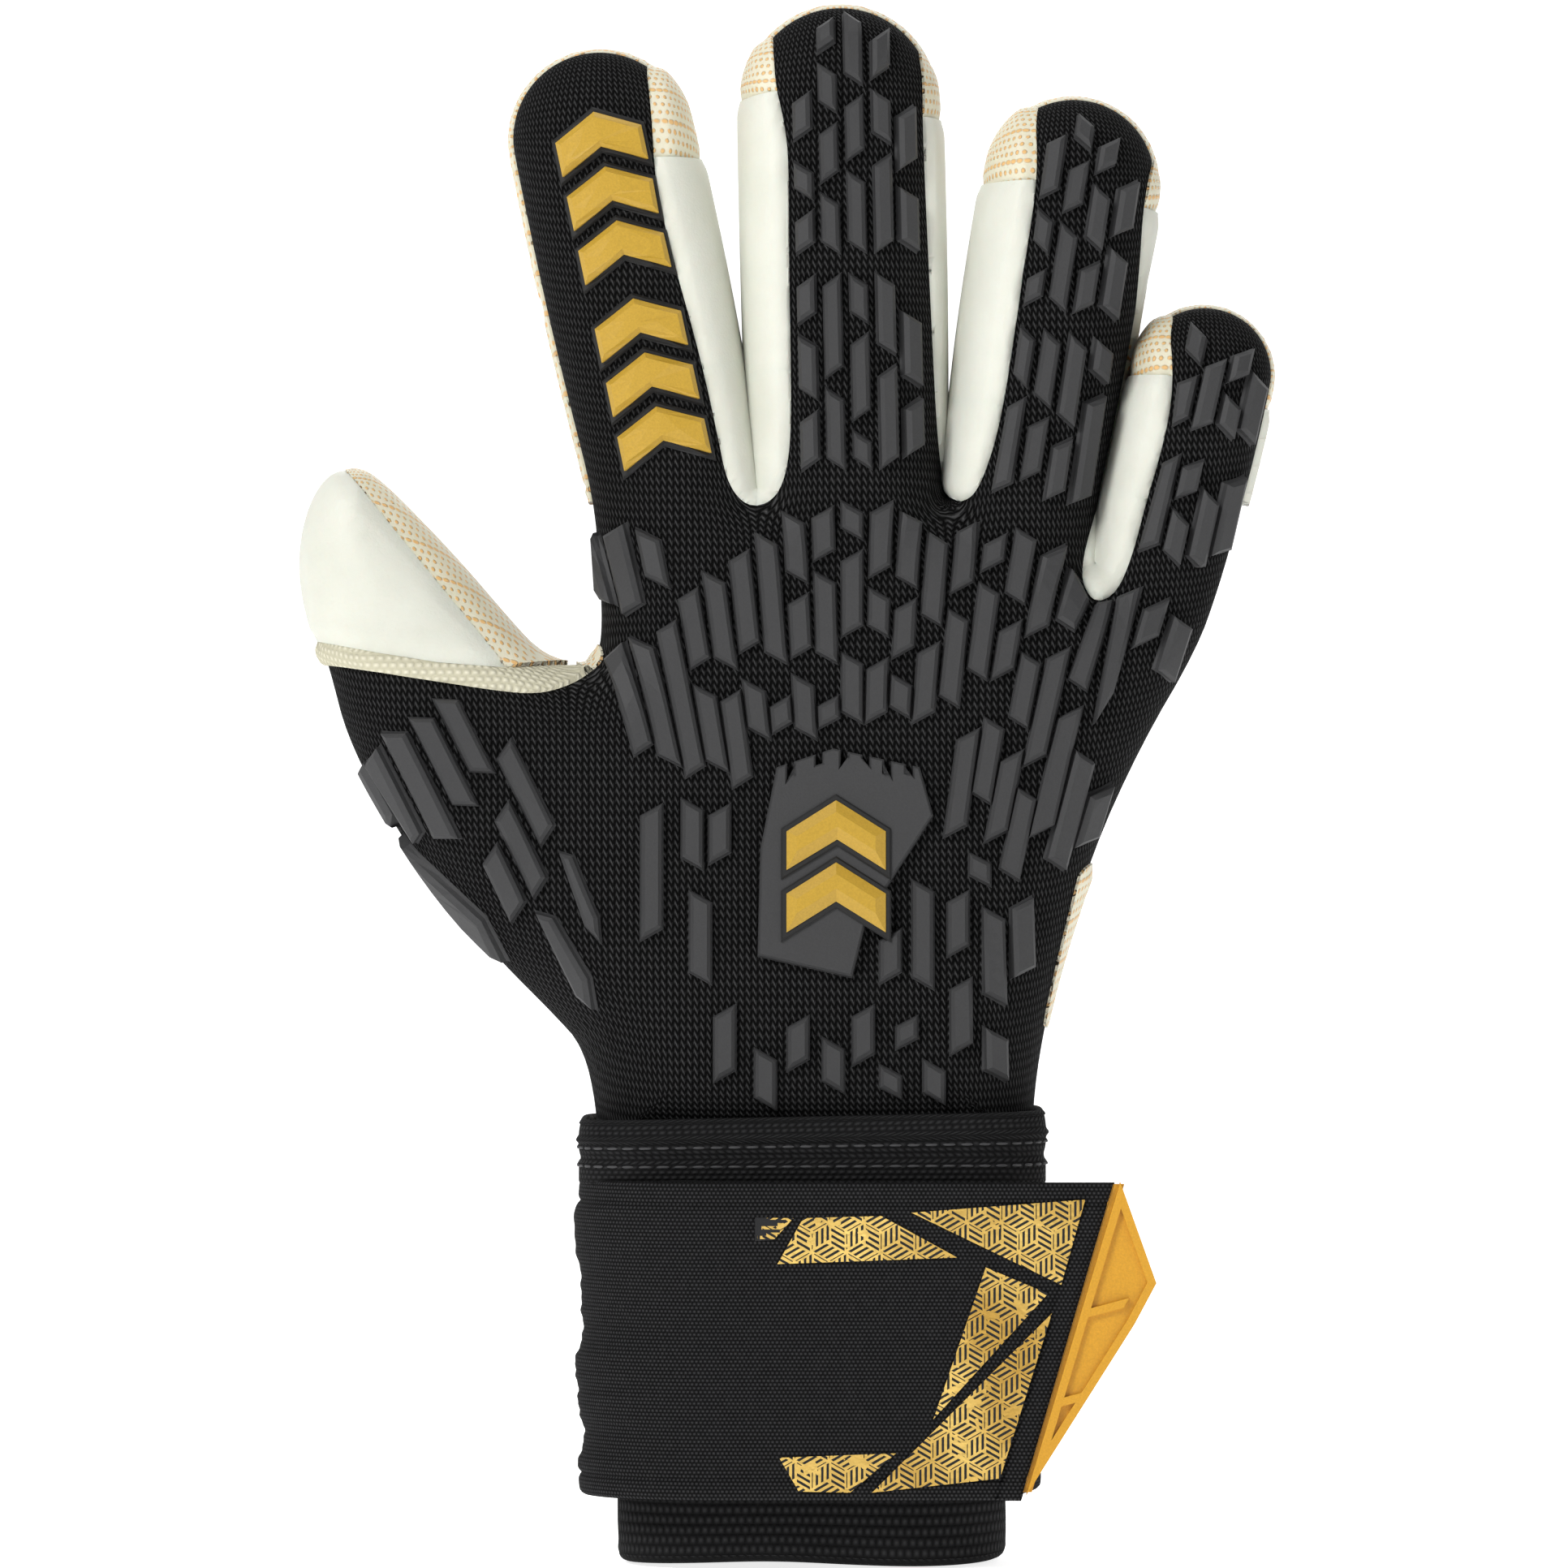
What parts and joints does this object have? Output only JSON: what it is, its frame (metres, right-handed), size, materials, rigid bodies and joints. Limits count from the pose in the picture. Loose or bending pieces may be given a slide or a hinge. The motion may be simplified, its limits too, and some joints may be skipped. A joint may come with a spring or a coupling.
{
  "type": "goalkeeper glove",
  "caption": "Right-hand goalkeeper glove with rubber striking bars on the back, rolled latex finger gussets, latex palm and a wrap-round wrist strap with a pull tab.",
  "frame": {"origin": "centre of the wrist opening, at the bottom of the cuff", "axes": "+Z along the hand towards the fingertips, -Y out of the back of the hand, +Y out of the palm, -X towards the thumb"},
  "size_m": [0.1792, 0.066, 0.2883],
  "materials": {
    "black_mesh": "knitted mesh with small upright chevrons, matte",
    "black_elastic": "coarse woven elastic, matte",
    "strap_knit": "dense warp knit, matte",
    "white_latex": "soft foamed latex, satin, off-white",
    "palm_latex": "cream latex with small ochre dots and dashes, satin",
    "rubber_bars": "moulded dark grey silicone, fine matte grain",
    "gold_rubber": "moulded gold silicone, satin",
    "gold_foil": "gold foil print, metallic, small hatched cube pattern",
    "yellow_tab": "moulded yellow-orange rubber, satin",
    "binding_cream": "stitched cream tape",
    "hook": "hook tape",
    "loop": "brushed loop tape",
    "lining": "brushed textile lining"
  },
  "bodies": {
    "hand": {"backhand_panel": "black_mesh", "palm_panel": "palm_latex", "outer_side_panel": "black_mesh", "inner_side_panel": "black_mesh", "backhand_lining": "lining", "palm_lining": "lining", "backhand_bars": "rubber_bars", "emblem_plate": "rubber_bars", "emblem_inlays": "gold_rubber", "wrist_band": "black_elastic", "cuff_sleeve": "black_elastic", "strap_first_turn": "strap_knit", "strap_second_turn": "strap_knit", "loop_patch": "loop"},
    "index_lower": {"index_back_lower": "black_mesh", "index_gussets_lower": "white_latex", "index_palm_lower": "palm_latex", "index_chevrons_lower": "gold_rubber"},
    "index_upper": {"index_back_upper": "black_mesh", "index_gussets_upper": "white_latex", "index_palm_upper": "palm_latex", "index_chevrons_upper": "gold_rubber"},
    "middle_lower": {"middle_back_lower": "black_mesh", "middle_gussets_lower": "white_latex", "middle_palm_lower": "palm_latex", "middle_bars_lower": "rubber_bars"},
    "middle_upper": {"middle_back_upper": "black_mesh", "middle_gussets_upper": "white_latex", "middle_palm_upper": "palm_latex", "middle_bars_upper": "rubber_bars"},
    "ring_lower": {"ring_back_lower": "black_mesh", "ring_gussets_lower": "white_latex", "ring_palm_lower": "palm_latex", "ring_bars_lower": "rubber_bars"},
    "ring_upper": {"ring_back_upper": "black_mesh", "ring_gussets_upper": "white_latex", "ring_palm_upper": "palm_latex", "ring_bars_upper": "rubber_bars"},
    "pinky_lower": {"pinky_back_lower": "black_mesh", "pinky_gussets_lower": "white_latex", "pinky_palm_lower": "palm_latex", "pinky_bars_lower": "rubber_bars"},
    "pinky_upper": {"pinky_back_upper": "black_mesh", "pinky_gussets_upper": "white_latex", "pinky_palm_upper": "palm_latex", "pinky_bars_upper": "rubber_bars"},
    "thumb_root": {"thumb_root_back": "black_mesh", "thumb_root_palm": "palm_latex", "thumb_bars": "rubber_bars"},
    "thumb_tip": {"thumb_back": "white_latex", "thumb_palm": "palm_latex", "thumb_binding": "binding_cream"},
    "strap_end": {"strap_end": "strap_knit", "hook_patch": "hook", "foil_print": "gold_foil"},
    "pull_tab": {"pull_tab": "yellow_tab"}
  },
  "joints": [
    {"name": "index_knuckle", "type": "hinge", "parent": "hand", "child": "index_lower", "pos_m": [-0.02603, 0.003, 0.20091], "axis": [-0.9945, 0, -0.1045], "range_deg": [0, 55]},
    {"name": "index_middle_joint", "type": "hinge", "parent": "index_lower", "child": "index_upper", "pos_m": [-0.03352, 0.003, 0.23613], "axis": [-0.9945, 0, -0.1045], "range_deg": [0, 50]},
    {"name": "middle_knuckle", "type": "hinge", "parent": "hand", "child": "middle_lower", "pos_m": [0.0071, 0.003, 0.201], "axis": [-0.9997, 0, -0.0244], "range_deg": [0, 55]},
    {"name": "middle_middle_joint", "type": "hinge", "parent": "middle_lower", "child": "middle_upper", "pos_m": [0.00615, 0.003, 0.23999], "axis": [-0.9997, 0, -0.0244], "range_deg": [0, 50]},
    {"name": "ring_knuckle", "type": "hinge", "parent": "hand", "child": "ring_lower", "pos_m": [0.03923, 0.003, 0.19595], "axis": [-0.9945, 0, 0.1045], "range_deg": [0, 55]},
    {"name": "ring_middle_joint", "type": "hinge", "parent": "ring_lower", "child": "ring_upper", "pos_m": [0.04455, 0.003, 0.22953], "axis": [-0.9945, 0, 0.1045], "range_deg": [0, 50]},
    {"name": "pinky_knuckle", "type": "hinge", "parent": "hand", "child": "pinky_lower", "pos_m": [0.0648, 0.003, 0.1839], "axis": [-1, 0, 0], "range_deg": [0, 55]},
    {"name": "pinky_middle_joint", "type": "hinge", "parent": "pinky_lower", "child": "pinky_upper", "pos_m": [0.06997, 0.003, 0.20631], "axis": [-1, 0, 0], "range_deg": [0, 50]},
    {"name": "thumb_swing", "type": "hinge", "parent": "hand", "child": "thumb_root", "pos_m": [-0.0415, 0.003, 0.131], "axis": [0, 0, -1], "range_deg": [0, 35]},
    {"name": "thumb_bend", "type": "hinge", "parent": "thumb_root", "child": "thumb_tip", "pos_m": [-0.068, 0.003, 0.1665], "axis": [-1, 0, 0], "range_deg": [0, 50]},
    {"name": "strap_peel", "type": "hinge", "parent": "hand", "child": "strap_end", "pos_m": [-0.012, -0.0354, 0.042], "axis": [0, 0, -1], "range_deg": [0, 100]},
    {"name": "tab_flex", "type": "hinge", "parent": "strap_end", "child": "pull_tab", "pos_m": [0.04695, -0.0335, 0.04235], "axis": [-0.2875, 0, -0.9578], "range_deg": [-20, 30], "stiffness_Nm_per_rad": 0.02}
  ]
}
